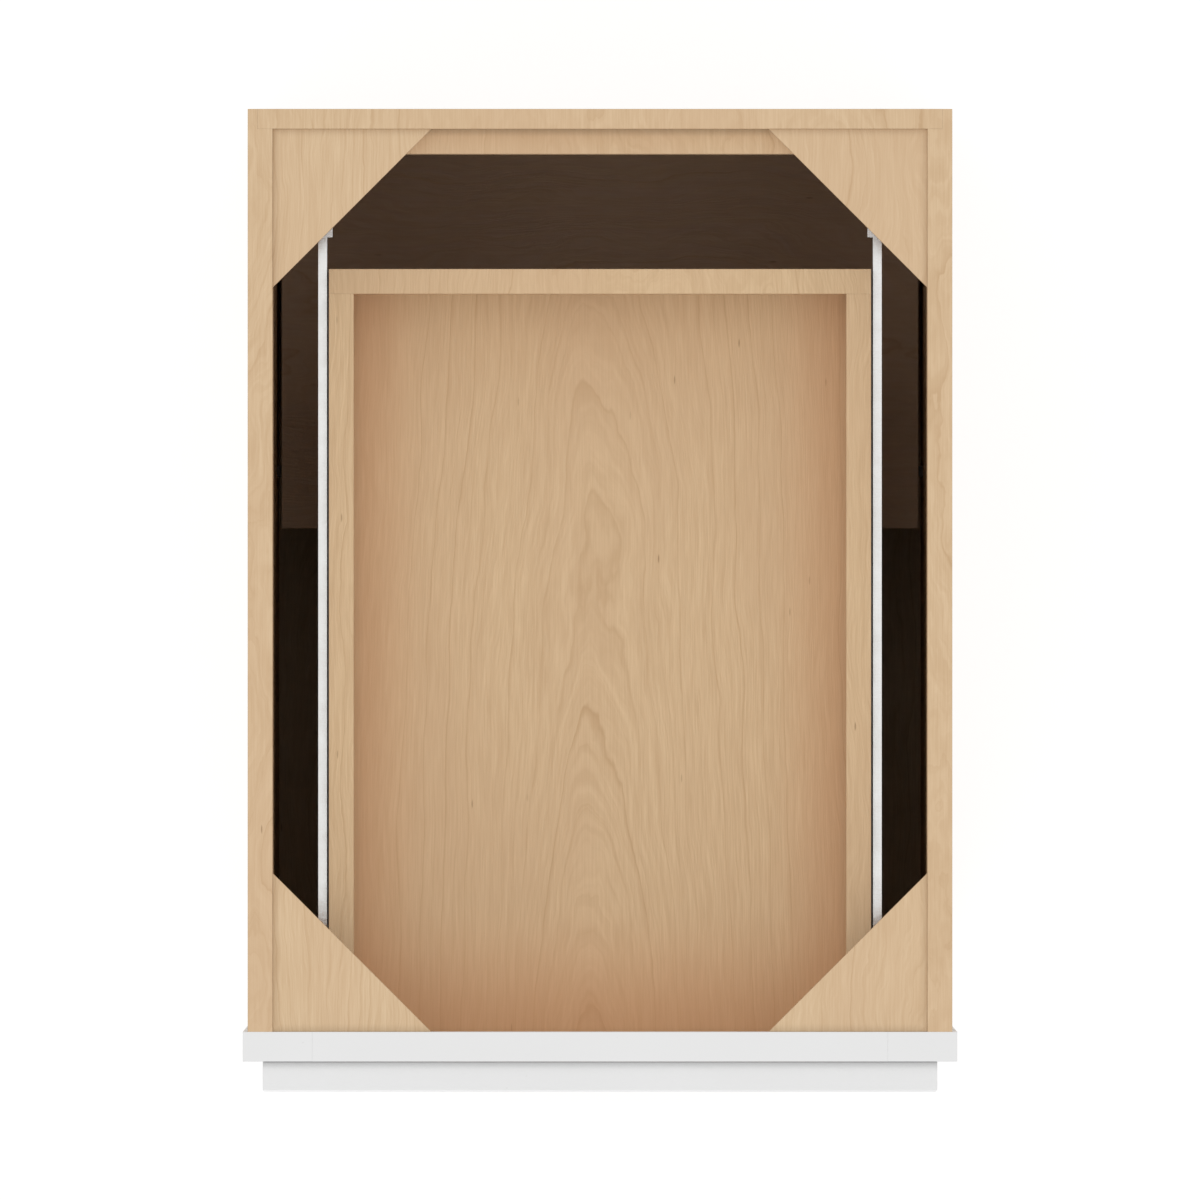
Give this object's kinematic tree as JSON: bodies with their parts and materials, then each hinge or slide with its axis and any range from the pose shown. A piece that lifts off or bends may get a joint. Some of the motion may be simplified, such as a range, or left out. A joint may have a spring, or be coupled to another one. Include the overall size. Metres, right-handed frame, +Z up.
{
  "type": "base cabinet",
  "caption": "Face-frame kitchen base cabinet with a drawer over a hinged shaker door, roller slides, corner blocks, a half-depth shelf and a recessed toe kick; open top for a worktop.",
  "frame": {"origin": "on the floor, under the middle of the cabinet's overall width and depth", "axes": "+Z up, +Y to the back (the wall side), +X to the right seen from the front"},
  "size_m": [0.4572, 0.6298, 0.8763],
  "materials": {
    "maple": "clear satin lacquer",
    "white_paint": "satin white paint",
    "bright_zinc": "bright zinc plate",
    "dull_zinc": "plain galvanised",
    "brown_nylon": "moulded, fine matt",
    "white_nylon": "moulded, fine matt",
    "nickel_steel": "nickel plate",
    "zinc_steel": "zinc plate",
    "clear_bumper": "clear soft plastic"
  },
  "bodies": {
    "carcass": {"side_panel_left": "maple", "side_panel_right": "maple", "back_panel": "maple", "deck_panel": "maple", "toe_kick_board": "maple", "hanging_rail": "maple", "corner_block_front_left": "maple", "corner_block_front_right": "maple", "corner_block_rear_left": "maple", "corner_block_rear_right": "maple", "half_shelf": "maple", "frame_stile_left": "white_paint", "frame_stile_right": "white_paint", "frame_top_rail": "white_paint", "frame_middle_rail": "white_paint", "frame_bottom_rail": "white_paint", "shelf_pins": "brown_nylon", "slide_channel_left": "bright_zinc", "slide_channel_right": "bright_zinc", "slide_rear_bracket_left": "zinc_steel", "slide_rear_bracket_right": "zinc_steel", "slide_screws": "zinc_steel", "front_roller_rivets": "zinc_steel", "hinge_arm_lower": "nickel_steel", "hinge_arm_upper": "nickel_steel", "hinge_arm_screws": "nickel_steel"},
    "drawer": {"drawer_side_left": "maple", "drawer_side_right": "maple", "drawer_box_front": "maple", "drawer_back": "maple", "drawer_bottom": "maple", "drawer_front": "white_paint", "drawer_front_screws": "zinc_steel", "drawer_runner_left": "dull_zinc", "drawer_runner_right": "dull_zinc", "runner_screws": "zinc_steel", "rear_roller_rivets": "zinc_steel"},
    "door": {"door_stile_left": "white_paint", "door_stile_right": "white_paint", "door_rail_top": "white_paint", "door_rail_bottom": "white_paint", "door_panel": "white_paint", "hinge_cup_lower": "nickel_steel", "hinge_cup_upper": "nickel_steel", "hinge_pins": "nickel_steel", "hinge_cup_screws": "nickel_steel", "door_bumpers": "clear_bumper"},
    "front_roller_left": {"front_roller_left": "white_nylon"},
    "front_roller_right": {"front_roller_right": "white_nylon"},
    "rear_roller_left": {"rear_roller_left": "white_nylon"},
    "rear_roller_right": {"rear_roller_right": "white_nylon"}
  },
  "joints": [
    {"name": "drawer_slide", "type": "slide", "parent": "carcass", "child": "drawer", "axis": [0, -1, 0], "range_m": [0, 0.381]},
    {"name": "door_hinge", "type": "hinge", "parent": "carcass", "child": "door", "pos_m": [-0.20945, -0.30517, 0.40005], "axis": [0, 0, -1], "range_deg": [0, 105]},
    {"name": "front_roller_left_spin", "type": "hinge", "parent": "carcass", "child": "front_roller_left", "pos_m": [-0.17828, -0.26062, 0.7103], "axis": [1, 0, 0], "range_deg": [0, 3120]},
    {"name": "front_roller_right_spin", "type": "hinge", "parent": "carcass", "child": "front_roller_right", "pos_m": [0.17828, -0.26062, 0.7103], "axis": [1, 0, 0], "range_deg": [0, 3120]},
    {"name": "rear_roller_left_spin", "type": "hinge", "parent": "drawer", "child": "rear_roller_left", "pos_m": [-0.17828, 0.20292, 0.7103], "axis": [1, 0, 0], "range_deg": [0, 3120]},
    {"name": "rear_roller_right_spin", "type": "hinge", "parent": "drawer", "child": "rear_roller_right", "pos_m": [0.17828, 0.20292, 0.7103], "axis": [1, 0, 0], "range_deg": [0, 3120]}
  ],
  "couplings": [
    {"joint": "front_roller_left_spin", "follows": "drawer_slide", "rad_per_m": 142.86},
    {"joint": "front_roller_right_spin", "follows": "drawer_slide", "rad_per_m": 142.86},
    {"joint": "rear_roller_left_spin", "follows": "drawer_slide", "rad_per_m": 142.86},
    {"joint": "rear_roller_right_spin", "follows": "drawer_slide", "rad_per_m": 142.86}
  ]
}
